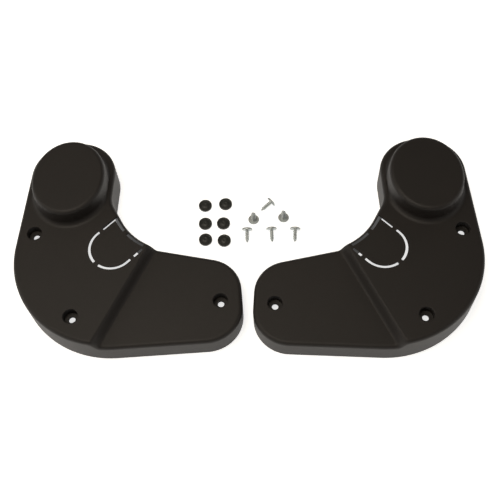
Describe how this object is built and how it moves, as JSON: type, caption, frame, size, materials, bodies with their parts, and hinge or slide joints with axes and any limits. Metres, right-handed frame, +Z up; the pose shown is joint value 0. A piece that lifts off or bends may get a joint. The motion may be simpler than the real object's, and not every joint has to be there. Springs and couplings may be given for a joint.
{
  "type": "armrest hinge cover kit",
  "caption": "Left and right moulded covers for the recliner hinges of a seat's armrests, laid flat with their screws and round screw caps.",
  "frame": {"origin": "bottom centre of the whole kit's box, on the plane the pieces lie on", "axes": "+X from the left cover to the right cover, +Y towards the tall ends of the covers, +Z up"},
  "size_m": [0.466, 0.2354, 0.055],
  "materials": {
    "moulded_cover": "near-black polypropylene, fine moulded grain, satin",
    "moulded_cap": "black polyethylene, smooth satin",
    "zinc_screw": "bright zinc plated steel"
  },
  "bodies": {
    "left_cover": {"left_cover": "moulded_cover"},
    "right_cover": {"right_cover": "moulded_cover"},
    "cap_1": {"cap_1": "moulded_cap"},
    "cap_2": {"cap_2": "moulded_cap"},
    "cap_3": {"cap_3": "moulded_cap"},
    "cap_4": {"cap_4": "moulded_cap"},
    "cap_5": {"cap_5": "moulded_cap"},
    "cap_6": {"cap_6": "moulded_cap"},
    "screw_1": {"screw_1": "zinc_screw"},
    "screw_2": {"screw_2": "zinc_screw"},
    "screw_3": {"screw_3": "zinc_screw"},
    "screw_4": {"screw_4": "zinc_screw"},
    "screw_5": {"screw_5": "zinc_screw"},
    "screw_6": {"screw_6": "zinc_screw"}
  },
  "joints": [
    {"name": "right_cover_lift", "type": "slide", "parent": "left_cover", "child": "right_cover", "axis": [0, 0, 1], "range_m": [0, 0.06]},
    {"name": "cap_1_lift", "type": "slide", "parent": "left_cover", "child": "cap_1", "axis": [0, 0, 1], "range_m": [0, 0.06]},
    {"name": "cap_2_lift", "type": "slide", "parent": "left_cover", "child": "cap_2", "axis": [0, 0, 1], "range_m": [0, 0.06]},
    {"name": "cap_3_lift", "type": "slide", "parent": "left_cover", "child": "cap_3", "axis": [0, 0, 1], "range_m": [0, 0.06]},
    {"name": "cap_4_lift", "type": "slide", "parent": "left_cover", "child": "cap_4", "axis": [0, 0, 1], "range_m": [0, 0.06]},
    {"name": "cap_5_lift", "type": "slide", "parent": "left_cover", "child": "cap_5", "axis": [0, 0, 1], "range_m": [0, 0.06]},
    {"name": "cap_6_lift", "type": "slide", "parent": "left_cover", "child": "cap_6", "axis": [0, 0, 1], "range_m": [0, 0.06]},
    {"name": "screw_1_lift", "type": "slide", "parent": "left_cover", "child": "screw_1", "axis": [0, 0, 1], "range_m": [0, 0.06]},
    {"name": "screw_2_lift", "type": "slide", "parent": "left_cover", "child": "screw_2", "axis": [0, 0, 1], "range_m": [0, 0.06]},
    {"name": "screw_3_lift", "type": "slide", "parent": "left_cover", "child": "screw_3", "axis": [0, 0, 1], "range_m": [0, 0.06]},
    {"name": "screw_4_lift", "type": "slide", "parent": "left_cover", "child": "screw_4", "axis": [0, 0, 1], "range_m": [0, 0.06]},
    {"name": "screw_5_lift", "type": "slide", "parent": "left_cover", "child": "screw_5", "axis": [0, 0, 1], "range_m": [0, 0.06]},
    {"name": "screw_6_lift", "type": "slide", "parent": "left_cover", "child": "screw_6", "axis": [0, 0, 1], "range_m": [0, 0.06]}
  ]
}
